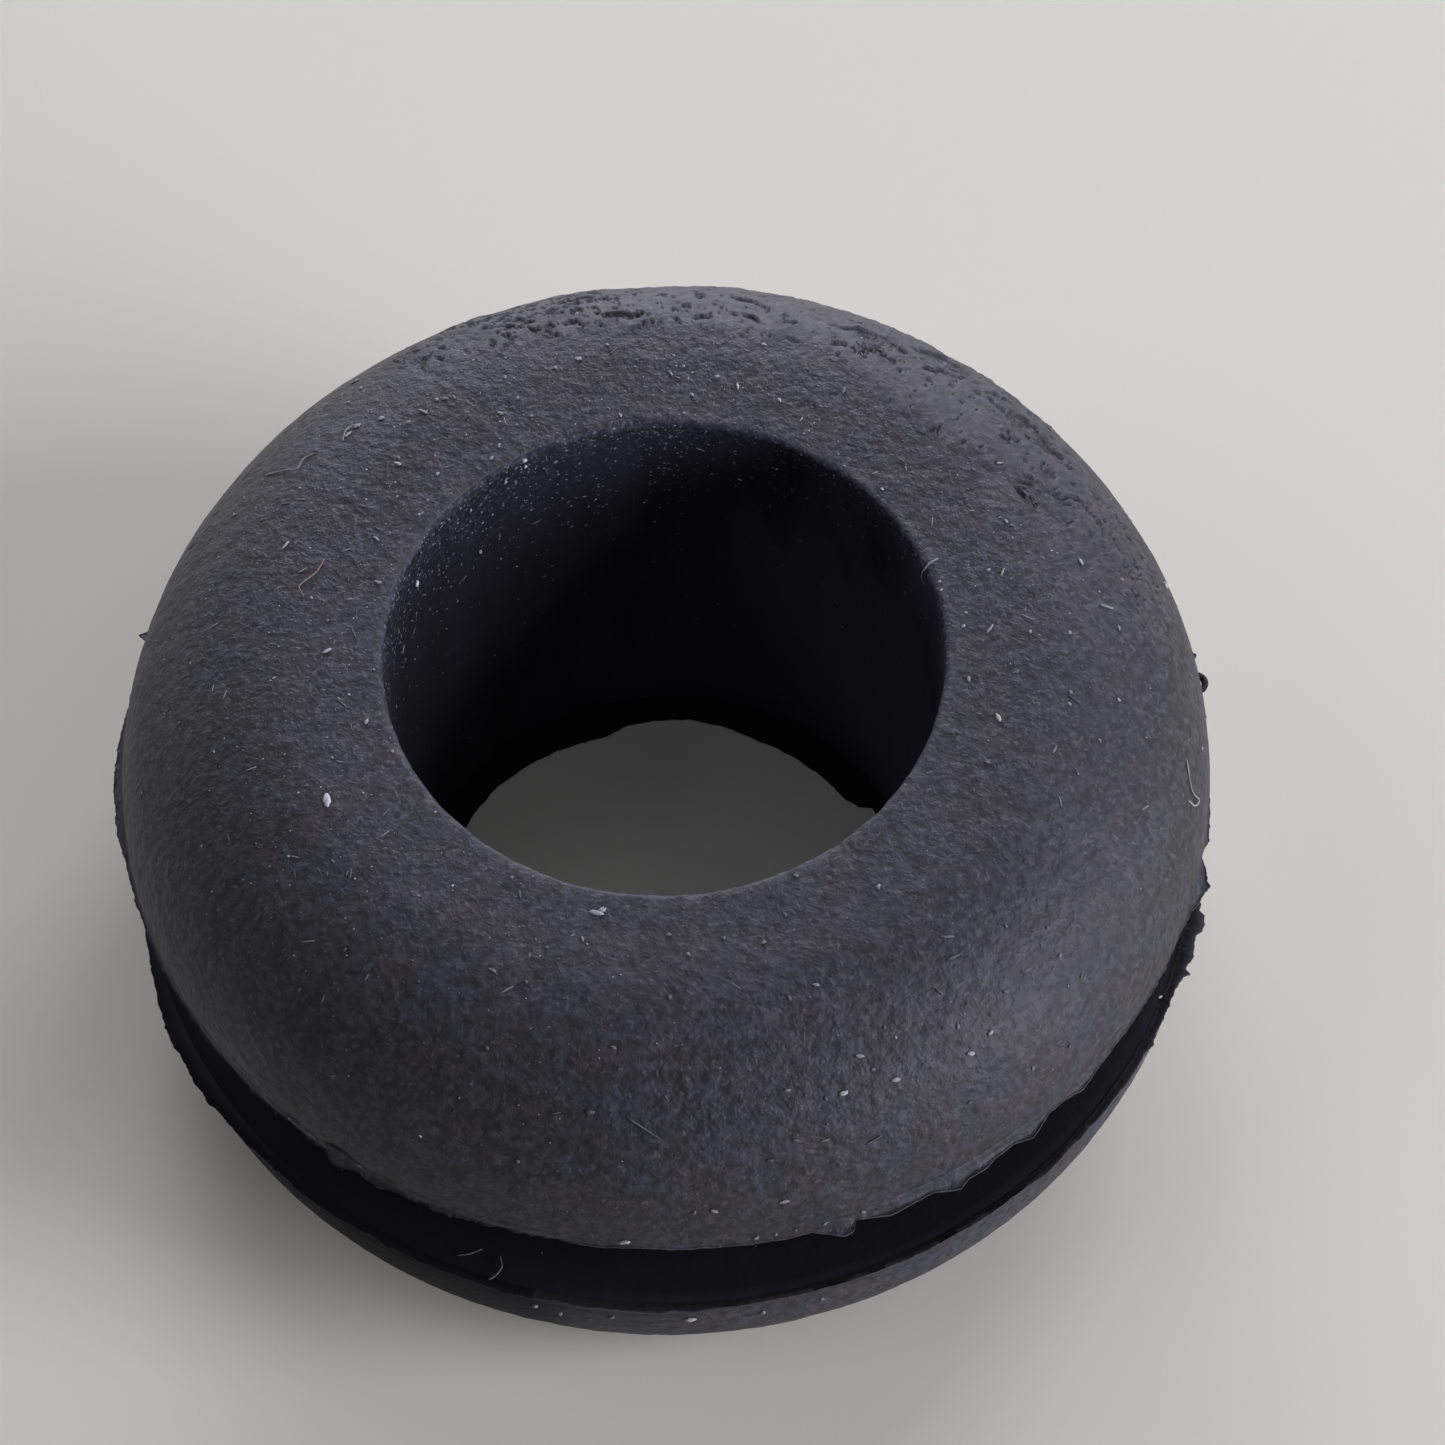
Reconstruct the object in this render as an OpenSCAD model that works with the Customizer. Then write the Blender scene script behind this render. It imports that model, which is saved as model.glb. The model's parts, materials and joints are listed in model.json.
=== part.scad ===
// Rubber cable grommet: one moulded ring with a flange at each end and a groove between them.
// The origin is the centre of the lower face, and +Z runs up the bore.

/* [Flanges] */
// Outside diameter of both flanges
flange_d = 25.4; // [22:0.1:40]
// Overall height, from the lower face to the upper face
height = 12.2; // [8:0.1:24]
// Radius that rounds over the outer edge of the upper flange
crown_r = 4.5; // [1:0.1:8]
// Radius that rounds over the outer edge of the lower flange
foot_r = 4; // [1:0.1:8]

/* [Groove] */
// Diameter of the groove floor, which is the hole the grommet fills
groove_d = 19.05; // [15:0.05:23]
// Width of the groove, which is the panel it holds on to
groove_w = 3.2; // [1:0.1:8]

/* [Bore] */
// Diameter of the hole that the cable passes through
bore_d = 12.7; // [6:0.1:17]
// Radius that rounds both edges of the bore
lip_r = 0.15; // [0.05:0.05:1.5]

/* [Hidden] */
$fn = 144;
rubber_black = [0.17, 0.17, 0.19];
flange_r = flange_d / 2;
groove_r = groove_d / 2;
bore_r = bore_d / 2;
// Thickness of each flange
flange_h = (height - groove_w) / 2;
// How far a cutter stands clear of what it cuts
clear = 1;

// Widest rounding that the flat face has room for
face_room = flange_r - bore_r - lip_r;

// Radial width of a rounding of radius r, which the groove cuts short where r passes the flange
function reach(r) = r > flange_h ? sqrt(r * r - pow(r - flange_h, 2)) : r;

// 2-D waste that a rounding of radius r takes off a corner; the arc is centred on the origin
module corner_waste(r) {
    difference() {
        square(r + clear);
        circle(r);
    }
}

// 2-D half section of one flange, with its groove face on the X axis and its outer face up
module flange_section(edge_r) {
    round_r = min(edge_r, face_room);
    difference() {
        translate([bore_r, 0])
            square([flange_r - bore_r, flange_h]);
        translate([flange_r - reach(round_r), flange_h - round_r])
            corner_waste(round_r);
        translate([bore_r + lip_r, flange_h - lip_r])
            mirror([1, 0])
                corner_waste(lip_r);
    }
}

// 2-D half section of the whole ring
module ring_section() {
    translate([0, height - flange_h])
        flange_section(crown_r);
    translate([0, flange_h])
        mirror([0, 1])
            flange_section(foot_r);
    translate([bore_r, flange_h])
        square([groove_r - bore_r, groove_w]);
}

module grommet() {
    color(rubber_black)
        rotate_extrude()
            ring_section();
}

grommet();
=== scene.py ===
import json
from math import asin, cos, degrees, hypot, pi, radians, sin, sqrt
import bmesh
import bpy
import numpy as np
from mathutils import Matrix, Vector, noise


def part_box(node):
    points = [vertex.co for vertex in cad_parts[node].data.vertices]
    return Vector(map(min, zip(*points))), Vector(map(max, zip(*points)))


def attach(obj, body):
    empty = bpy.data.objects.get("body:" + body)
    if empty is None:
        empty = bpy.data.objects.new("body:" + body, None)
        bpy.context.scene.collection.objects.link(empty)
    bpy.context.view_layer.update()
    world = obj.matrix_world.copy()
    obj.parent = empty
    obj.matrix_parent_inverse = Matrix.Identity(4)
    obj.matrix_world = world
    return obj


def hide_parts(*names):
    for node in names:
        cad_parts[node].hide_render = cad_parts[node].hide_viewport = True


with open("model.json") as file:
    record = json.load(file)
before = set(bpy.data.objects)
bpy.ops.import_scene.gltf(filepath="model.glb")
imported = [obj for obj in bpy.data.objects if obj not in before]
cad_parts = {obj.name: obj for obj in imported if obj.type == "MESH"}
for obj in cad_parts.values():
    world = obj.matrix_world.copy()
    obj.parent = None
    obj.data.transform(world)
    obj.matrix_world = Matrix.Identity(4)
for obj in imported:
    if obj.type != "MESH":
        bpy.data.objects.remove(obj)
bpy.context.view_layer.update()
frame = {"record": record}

mm = 0.001
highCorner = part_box("grommet")[1]
mountSizes = {mount["name"]: mount["dims"] for mount in frame["record"]["mounts"]}
dice = np.random.default_rng(19)      # the seeds of chance, so every run is the same
noise.seed_set(19)                    # noise_vector() takes its offsets from here, else from the clock


# a new mesh object from points and faces, linked to the scene
def addMesh(name, points, faces, *materials, smooth=True):
    mesh = bpy.data.meshes.new(name)
    mesh.from_pydata([tuple(p) for p in points], [], [tuple(f) for f in faces])
    mesh.validate()
    if smooth:
        mesh.shade_smooth()
    for material in materials:
        mesh.materials.append(material)
    piece = bpy.data.objects.new(name, mesh)
    bpy.context.scene.collection.objects.link(piece)
    return piece


# quads over a grid of columns by rows; a ring closes on itself along its columns, a tube round its rows
def gridFaces(columns, rows, ring=True, tube=True):
    faces = []
    for i in range(columns if ring else columns - 1):
        k = (i + 1) % columns
        for j in range(rows if tube else rows - 1):
            n = (j + 1) % rows
            faces.append((i * rows + j, i * rows + n, k * rows + n, k * rows + j))
    return faces


# one number for each point, for the rubber's nodes to read
def addPointValues(piece, name, values):
    layer = piece.data.attributes.new(name, "FLOAT", "POINT")
    layer.data.foreach_set("value", np.asarray(values, dtype=np.float32))


# camera
camera = {
    "aim": (1.317 * mm, 0.0, 9.134 * mm),
    "distance": 97.79 * mm,
    "elevation": 57.456,      # degrees above the table
    "roll": -0.282,           # degrees, the tilt of a hand-held camera
    "lens": 105.112,
    "sensor": 36.0,
    "clip": (0.005, 5.0),
}


def placeCamera(c):
    data = bpy.data.cameras.new("camera")
    data.lens = c["lens"]
    data.sensor_width = c["sensor"]
    data.clip_start, data.clip_end = c["clip"]
    eye = bpy.data.objects.new("camera", data)
    bpy.context.scene.collection.objects.link(eye)
    rise = radians(c["elevation"])
    back = Vector((0.0, -cos(rise), sin(rise)))
    eye.location = Vector(c["aim"]) + back * c["distance"]
    eye.rotation_mode = "ZYX"
    eye.rotation_euler = (radians(90.0 - c["elevation"]), 0.0, radians(c["roll"]))
    bpy.context.scene.camera = eye


# the moulded body
body = {
    "outerRadius": highCorner.x,
    "height": highCorner.z,
    "boreRadius": mountSizes["bore"]["r_mm"] * mm,
    "grooveRadius": mountSizes["panel_groove"]["r_mm"] * mm,
    "grooveWidth": mountSizes["panel_groove"]["length_mm"] * mm,
    "crownRadius": 4.5 * mm,
    "footRadius": 4.0 * mm,
    "lipRadius": 0.15 * mm,
    "edgeRadius": 0.05 * mm,      # the groove's edges are a little blunt
    "slices": 900,                # facets round the bore
    # unevenness and the scale of its noise: slow and fine over the moulding, on the torn rim of the bore,
    # and where the old skin has torn away
    "swell": (0.014 * mm, 0.32),
    "pebble": (0.011 * mm, 1.9),
    "crumble": (0.030 * mm, 2.6),
    "crust": (0.022 * mm, 2.4),
    "rimSpread": (0.14 * mm, 0.13 * mm),      # how far from the rim it is torn, outward and down
    "rough": [(106, 10.6, 5.5, 1.6, 0)],    # an oval of the crown as rough as the torn spots, in part
    "roughShare": 0.45,
    # painted light down the bore, carried in its film: most of it, how much less on the far left, where it is
    # painted shade, its bearing and how it spreads
    "borePaintedLight": (1.5, 1.3, 165, 0.7),
    "deepPaintedLight": (1.6, 2.5, 8),    # how much more painted light low down, and from where to where in mm below the top
    # round the far left edge of the crown: how much more, its bearing and spread, from which radius to which
    "edgeFilm": (0.85, 185, 1.6, 11.9, 12.5),
    "shadedFoot": 0.05,           # how much of the foot's film is left on the near left side; less there is painted shade
    "shadedSide": (150, 8, 268, 12),      # where that side starts and ends, each with its fade
    # fine dust on the wall of the bore: its share at the rim and the depth in mm over which it thins out,
    # then the same on the far left side, with its bearing and how sharply it gathers there
    "rimDust": (0.9, 0.4),
    "sideDust": (0.5, 1.8, 140, 1.5),
    # dents in the lower edge of the crown: angle, radius, height, half length, half height, depth
    "dents": [
        (229.5, 12.66, 8.1, 0.35, 0.16, 0.05), (235.6, 12.68, 8, 0.42, 0.2, 0.06),
        (241, 12.7, 7.82, 0.3, 0.15, 0.05), (257, 12.7, 7.72, 1, 0.17, 0.05),
        (283.5, 12.7, 7.75, 0.3, 0.14, 0.05), (296, 12.68, 7.85, 0.55, 0.15, 0.05),
        (305, 12.68, 7.9, 0.6, 0.16, 0.05), (321, 12.68, 7.9, 0.5, 0.15, 0.05),
    ],
}
flangeHeight = (body["height"] - body["grooveWidth"]) / 2
grooveTop = body["height"] - flangeHeight
grooveFoot = flangeHeight


# centre of the rounding that a flange carries on its outer edge, and where it meets the groove
def roundingCentre(radius):
    reach = sqrt(radius ** 2 - max(radius - flangeHeight, 0) ** 2)
    return body["outerRadius"] - reach, radius


crownCentre = (roundingCentre(body["crownRadius"])[0], body["height"] - body["crownRadius"])
footCentre = roundingCentre(body["footRadius"])


# one straight run of the section, its end left to the next run
def straightRun(start, end, count):
    return [
        (start[0] + (end[0] - start[0]) * i / count, start[1] + (end[1] - start[1]) * i / count)
        for i in range(count)
    ]


# one rounded run of the section, angles in degrees from the radial direction
def roundRun(centre, radius, start, end, count):
    run = []
    for i in range(count):
        turn = radians(start + (end - start) * i / count)
        run.append((centre[0] + radius * cos(turn), centre[1] + radius * sin(turn)))
    return run


# the closed section: up the bore, over the crown, through the groove, round the foot and back
# each run has a name, how much dust film its rubber carries at its start and end, and its points; that film
# also paints light: it fades out towards and into the groove as painted shade in the recess, and rises round
# the lip and the rim of the face, partly dust and partly a painted highlight
def sectionRuns(b):
    bore, lip, edge = b["boreRadius"], b["lipRadius"], b["edgeRadius"]
    outer, groove, top = b["outerRadius"], b["grooveRadius"], b["height"]
    rise = (grooveTop + edge - crownCentre[1]) / b["crownRadius"]
    return [
        ("bore", 1.0, 1.0, straightRun((bore, lip), (bore, top - 0.9 * mm), 6)
         + straightRun((bore, top - 0.9 * mm), (bore, top - lip), 8)),
        ("lip", 1.1, 1.4, roundRun((bore + lip, top - lip), lip, 180, 90, 4)),
        ("faceRim", 1.4, 1.1, straightRun((bore + lip, top), (bore + lip + 0.35 * mm, top), 3)),
        ("face", 1.0, 1.0, straightRun((bore + lip + 0.35 * mm, top), (crownCentre[0], top), 6)),
        ("crown", 1.0, 0.9, roundRun(crownCentre, b["crownRadius"], 90, degrees(asin(rise)), 45)),
        ("crownEdge", 0.9, 0.2, roundRun((outer - edge, grooveTop + edge), edge, 0, -90, 3)),
        ("grooveRoof", 0.0, 0.0, straightRun((outer - edge, grooveTop), (groove, grooveTop), 5)),
        ("grooveWall", 0.0, 0.0, straightRun((groove, grooveTop), (groove, grooveFoot), 4)),
        ("shelf", 0.0, 0.1, straightRun((groove, grooveFoot), (outer - edge, grooveFoot), 8)),
        ("shelfEdge", 0.5, 1.0, roundRun((outer - edge, grooveFoot - edge), edge, 90, 0, 3)),
        ("foot", 1.25, 1.1, roundRun(footCentre, b["footRadius"], 0, -90, 11)),
        ("underside", 0.4, 0.2, straightRun((footCentre[0], 0), (bore + lip, 0), 2)),
        ("lowerLip", 0.2, 0.0, roundRun((bore + lip, lip), lip, -90, -180, 2)),
    ]


# outward normals of the closed section, the mean of the two sides at each point
def sectionNormals(line):
    ahead = np.roll(line, -1, axis=0) - line
    ahead /= np.linalg.norm(ahead, axis=1)[:, None]
    tangent = ahead + np.roll(ahead, 1, axis=0)
    tangent /= np.linalg.norm(tangent, axis=1)[:, None]
    return np.stack([-tangent[:, 1], tangent[:, 0]], axis=1)


runs = sectionRuns(body)
sectionPoints = np.array([point for run in runs for point in run[3]])
sectionFilmAndLight = np.concatenate([np.linspace(run[1], run[2], len(run[3])) for run in runs])
runEnds = np.cumsum([len(run[3]) for run in runs])
rowsOf = {run[0]: slice(end - len(run[3]), end) for run, end in zip(runs, runEnds)}
sectionOut = sectionNormals(sectionPoints)
sectionPath = np.concatenate([[0], np.cumsum(np.linalg.norm(np.diff(sectionPoints, axis=0), axis=1))])
turns = np.linspace(0, 2 * pi, body["slices"], endpoint=False)


# the section's points or normals carried round the bore, as columns of 3-D rows
def carryRound(pairs, angles):
    ones = np.ones((len(angles), 1))
    across = pairs[:, 0]
    columns = [np.cos(angles)[:, None] * across, np.sin(angles)[:, None] * across, ones * pairs[:, 1]]
    return np.stack(columns, axis=2)


# a soft step from 0 to 1 for arrays
def softStep(values, start, end):
    t = np.clip((values - start) / (end - start), 0, 1)
    return t * t * (3 - 2 * t)


# distances along the section: of a radius on some of its rows, of one on the crown or on the groove's shelf,
# of a height in the bore and of one on the foot
def radiusPath(radius, start, stop):
    return float(np.interp(radius * mm, sectionPoints[start:stop, 0], sectionPath[start:stop]))


def crownPath(radius):
    return radiusPath(radius, rowsOf["lip"].start, rowsOf["crown"].stop)


def shelfPath(radius):
    return radiusPath(radius, rowsOf["shelf"].start, rowsOf["shelf"].stop + 1)


def borePath(height):
    return height * mm - body["lipRadius"]


def footPath(height):
    rows = rowsOf["foot"]
    return float(np.interp(-height * mm, -sectionPoints[rows, 1], sectionPath[rows]))


# the old skin on the crown: sheets that still stand, and the spots torn out of them
# angle, radius, half length, half width, turn of the length from the ring's direction; mm and degrees
peeledSkin = {
    "angles": (-6, 130),
    "radii": (7.8, 12.69),
    "columns": 760,
    "rows": 118,
    "thickness": 0.070 * mm,
    "curl": 0.040 * mm,           # how far the torn edges stand up
    "sink": 0.030 * mm,           # how far the torn spots go below the skin
    "ragged": 0.22,               # how far, in mm, the outlines of the torn spots wander
    "lumps": 0.080 * mm,          # unevenness of the outer edge
    "margin": 0.010 * mm,         # how far the skin dips below the body outside the sheets
    "buried": 0.004 * mm,         # where it lies deeper than this it is left out
    "wide": 0.15,                 # half width from which a torn spot is pitted, in mm
    "pittedFrom": (84, 98),       # angles over which the sheets turn pitted all over
    # scales of the noises: the sheets' outline, their wobble, the pits, then the torn spots' outline
    # in two sizes, each with its share
    "waveScale": 0.8,
    "wobbleScale": 3.2,
    "pitScale": 4.2,
    "raggedScales": ((2.6, 0.6), (6.0, 0.4)),
    "pitStretch": (8.5, 0.6),     # how far the pits are drawn out round the ring, and how they slant
    "pitEdge": (0.62, 0.72),      # where in their noise they start and are full
    "morePits": 0.36,             # how much sooner they do where all is pitted
    "lipDepth": (-0.15, 0.25),    # middle and width of the curled lip round a torn spot
    "cleftDepth": (0.12, 0.16),   # and of the cleft inside it
    # dust film: how much more on the sheets, how much paler the lips are, a painted highlight, how much
    # darker the clefts are, a painted shadow, and how much less film in the torn spots
    "filmAndLight": (0.30, 0.25, 0.75, 0.25),
    "sheets": [
        (70, 10.9, 6.5, 2.4, 0), (40, 10.7, 3.6, 1.7, 0), (27, 10.95, 2.2, 1.5, 0), (48, 9.4, 2.8, 0.9, 0),
        (12, 11.4, 2.6, 1.1, 0), (104, 10.6, 5.2, 1.7, 0),
    ],
    "torn": [
        (79.5, 10.6, 0.45, 0.11, 15), (84.5, 9.6, 0.25, 0.1, -10), (78, 9.8, 0.3, 0.09, 30),
        (80.5, 9.9, 0.15, 0.07, 30), (78.5, 9.1, 0.2, 0.06, 5), (86.5, 8.3, 0.25, 0.05, 10),
        (93.5, 9.2, 0.2, 0.08, 20), (101.5, 10.8, 0.4, 0.2, -10), (96.5, 9.7, 0.5, 0.14, 10),
        (63, 10.6, 0.75, 0.15, -25), (61.5, 10.4, 0.6, 0.36, 5), (65, 9.7, 0.2, 0.08, -20),
        (60, 10.1, 0.15, 0.1, 5), (57.5, 10.5, 0.15, 0.1, 20), (58, 9.9, 0.25, 0.14, 30),
        (69, 9.1, 0.1, 0.06, 0), (66, 8.7, 0.15, 0.05, 0), (53, 11, 0.7, 0.42, -15),
        (50.5, 10.6, 0.65, 0.11, -40), (73.5, 10.2, 0.1, 0.09, 10), (71.5, 9.4, 0.2, 0.06, 0),
        (43, 10.7, 0.4, 0.1, 10), (44.5, 11.1, 0.2, 0.12, -45), (37.5, 10.2, 0.3, 0.07, -5),
        (38.5, 10.8, 0.65, 0.44, 5), (34, 10.9, 0.3, 0.2, -30), (30, 10.3, 0.25, 0.09, -25),
        (29, 9.8, 0.3, 0.08, -15), (27, 10, 0.2, 0.08, -50), (25.5, 10.4, 0.4, 0.06, -80),
        (27.5, 9.6, 0.4, 0.18, -15), (23, 9.1, 0.25, 0.05, 5), (22, 10, 0.15, 0.06, 5),
        (16, 9.9, 0.2, 0.06, -5), (7, 10.2, 0.2, 0.06, -25), (9, 9.9, 0.15, 0.06, -75),
        (23.5, 10.7, 0.35, 0.07, -30), (20.5, 10.8, 0.3, 0.07, 5), (18, 10.5, 0.35, 0.06, -10),
        (18.5, 11, 0.35, 0.07, -5), (14.5, 11, 0.3, 0.06, -15), (30.5, 11.6, 0.1, 0.22, -25),
        (28, 10.8, 0.1, 0.09, -25), (10.5, 11, 0.25, 0.06, -5),
    ],
}


# how deep each point of the crown lies in a list of such ovals, as a part of their width, and how far out
# across the oval it lies, from -1 to 1
def depthInOvals(angles, paths, ovals):
    deepest = np.full(len(angles), -np.inf)
    outer = np.zeros(len(angles))
    for angle, radius, halfLength, halfWidth, turn in ovals:
        along = np.radians((angles - angle + 180) % 360 - 180) * radius
        across = (paths - crownPath(radius)) / mm
        c, s = cos(radians(turn)), sin(radians(turn))
        wide = (across * c - along * s) / halfWidth
        depth = 1 - np.hypot((along * c + across * s) / halfLength, wide)
        outer = np.where(depth > deepest, wide, outer)
        deepest = np.maximum(deepest, depth)
    return deepest, outer


# 1 where the old skin has torn away from the body, 0 elsewhere
def tornCover(points):
    angle = np.degrees(np.arctan2(points[:, 1], points[:, 0]))
    paths = np.tile(sectionPath, body["slices"])
    wide = [oval for oval in peeledSkin["torn"] if oval[3] > peeledSkin["wide"]]
    depth = depthInOvals(angle, paths, wide)[0]
    rough = depthInOvals(angle, paths, body["rough"])[0]
    return np.maximum(softStep(depth, -0.5, 0.3), body["roughShare"] * softStep(rough, 0, 0.5))


# how far the skin stands off the true section at each point
def skinRelief(points):
    relief = np.empty(len(points))
    radius = np.hypot(points[:, 0], points[:, 1])
    outward, down = body["rimSpread"]
    rimNear = np.exp(-((radius - body["boreRadius"]) / outward) ** 2)
    rimNear *= np.exp(-((body["height"] - points[:, 2]) / down) ** 2)
    peeling = tornCover(points)
    swell, swellScale = body["swell"]
    pebbles, pebbleScale = body["pebble"]
    crumble, crumbleScale = body["crumble"]
    crust, crustScale = body["crust"]
    for i, point in enumerate(points):
        p = Vector(point) / mm
        slow = noise.fractal(p * swellScale, 0.9, 2.0, 2)
        fine = noise.fractal(p * pebbleScale + Vector((7, 3, 1)), 0.7, 2.1, 3)
        relief[i] = swell * slow + pebbles * fine
        if rimNear[i] > 0.02:
            steep = Vector((p.x, p.y, 3 * p.z))
            relief[i] += crumble * rimNear[i] * noise.fractal(steep * crumbleScale, 0.6, 2.2, 3)
        if peeling[i] > 0.02:
            relief[i] += crust * peeling[i] * noise.fractal(p * crustScale, 0.6, 2.1, 3)
    angle = np.arctan2(points[:, 1], points[:, 0])
    for where, atRadius, atHeight, halfLength, halfWidth, depth in body["dents"]:
        turn = (angle - radians(where) + pi) % (2 * pi) - pi
        along = turn * atRadius / halfLength
        across = np.hypot(radius - atRadius * mm, points[:, 2] - atHeight * mm) / (halfWidth * mm)
        relief -= depth * mm * np.exp(-along ** 2 - across ** 2)
    return relief


# 0 on the near left side of the flash and the foot, which is darkened as painted shade, 1 elsewhere
def offShadedSide(angle):
    turn = angle % 360
    start, rise, end, fall = body["shadedSide"]
    return 1.0 - min(max((turn - start) / rise, 0), 1) * min(max((end - turn) / fall, 0), 1)


# how thickly fine dust is sprinkled down the wall of the bore, most on its far left side
def wallDust(points):
    angle = np.degrees(np.arctan2(points[:, 1], points[:, 0]))
    below = (body["height"] - points[:, 2]) / mm
    atRim, rimDepth = body["rimDust"]
    atSide, sideDepth, bearing, gathering = body["sideDust"]
    facing = np.clip(np.cos(np.radians(angle - bearing)), 0, 1) ** gathering
    return np.exp(-below / rimDepth) * atRim + atSide * facing * np.exp(-below / sideDepth)


# how much dust film the body carries, round by round and row by row, with painted light in it: painted shade
# on the near left of the foot and on the far left wall of the bore, and more painted light low down in the
# bore
def bodyFilmAndLight():
    filmAndLight = np.tile(sectionFilmAndLight, (body["slices"], 1))
    footOffShade = np.array([offShadedSide(degrees(turn)) for turn in turns])
    shaded = body["shadedFoot"]
    # painted shade: the foot's film is cut down on the near left side
    filmAndLight[:, rowsOf["shelfEdge"].start:rowsOf["foot"].stop] *= (shaded + (1 - shaded) * footOffShade)[:, None]
    # the bore's film is painted light: painted shade on its far left wall, paler low down
    most, less, bearing, spread = body["borePaintedLight"]
    filmAndLight[:, rowsOf["bore"]] = most - less * np.clip(np.cos(turns - radians(bearing)), 0, 1)[:, None] ** spread
    more, start, end = body["deepPaintedLight"]
    below = body["height"] - sectionPoints[rowsOf["bore"], 1]
    filmAndLight[:, rowsOf["bore"]] *= 1 + more * softStep(below, start * mm, end * mm)
    more, bearing, spread, start, end = body["edgeFilm"]
    farOut = softStep(sectionPoints[rowsOf["crown"], 0], start * mm, end * mm)
    farLeft = np.clip(np.cos((turns - radians(bearing)) * spread), 0, 1)[:, None]
    filmAndLight[:, rowsOf["crown"]] *= 1 + more * farLeft * farOut
    return filmAndLight


def mouldBody():
    points = carryRound(sectionPoints, turns).reshape(-1, 3)
    outward = carryRound(sectionOut, turns)
    points = points + outward.reshape(-1, 3) * skinRelief(points)[:, None]
    points[:, 2] = np.maximum(points[:, 2], 0.0)      # nothing goes through the table
    rings = len(sectionPoints)
    piece = addMesh("grommetBody", points, gridFaces(body["slices"], rings), skinRubber, hollowShadeRubber)
    piece.data.set_sharp_from_angle(angle=radians(50))
    inBore = np.zeros(rings)
    inBore[rowsOf["bore"]] = 1
    inBore[rowsOf["lip"]] = (1.1, 1.1, 0.8, 0)
    addPointValues(piece, "sectionPath", np.tile(sectionPath / mm, body["slices"]))
    addPointValues(piece, "dustFilmAndLight", bodyFilmAndLight().ravel())
    addPointValues(piece, "wallDust", wallDust(points) * np.tile(inBore, body["slices"]))
    addPointValues(piece, "peeling", tornCover(points))
    # the bore, the groove and the first rows of the lip take the darker rubber, as painted shade in these
    # hollows
    bare = np.zeros(rings, dtype=int)
    for name in ("bore", "grooveRoof", "grooveWall", "shelf"):
        bare[rowsOf[name]] = 1
    bare[rowsOf["lip"].start:rowsOf["lip"].start + 2] = 1
    piece.data.polygons.foreach_set("material_index", np.tile(bare, body["slices"]))
    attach(piece, "root")
    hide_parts("grommet")
    return piece, points.reshape(body["slices"], rings, 3), outward


# where the skin is, and which way it faces, at an angle in degrees and a distance along the section
def skinAt(angle, path):
    column = (angle % 360.0) / 360.0 * body["slices"]
    i = int(column) % body["slices"]
    k = (i + 1) % body["slices"]
    row = float(np.interp(path, sectionPath, np.arange(len(sectionPath))))
    j = min(int(row), len(sectionPath) - 2)
    u, v = column - int(column), row - j
    found = []
    for grid in (skinGrid, skinOutward):
        near = grid[i, j] * (1 - v) + grid[i, j + 1] * v
        far = grid[k, j] * (1 - v) + grid[k, j + 1] * v
        found.append(near * (1 - u) + far * u)
    return found[0], found[1] / np.linalg.norm(found[1])


# noises over the old skin: wobble, waves, pits drawn out round the ring, and how far outlines are shifted
def peelNoises(f, places):
    wobble, waves, pits, warp = [], [], [], []
    stretch, slant = f["pitStretch"]
    (coarse, most), (fine, rest) = f["raggedScales"]
    for place in places:
        p = Vector(place) / mm
        long = Vector((p.x, p.y, 0)).normalized() * stretch + Vector((0, 0, p.z - slant * hypot(p.x, p.y)))
        wobble.append(noise.fractal(p * f["wobbleScale"], 0.6, 2.1, 3))
        warp.append(noise.noise_vector(p * coarse) * most + noise.noise_vector(p * fine) * rest)
        waves.append(noise.fractal(p * f["waveScale"] + Vector((3, 1, 4)), 0.7, 2.0, 3))
        pits.append(noise.fractal(long * f["pitScale"] + Vector((4, 8, 5)), 0.5, 2.1, 4))
    return np.array(wobble), np.array(waves), np.array(pits), np.array(warp)


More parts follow.
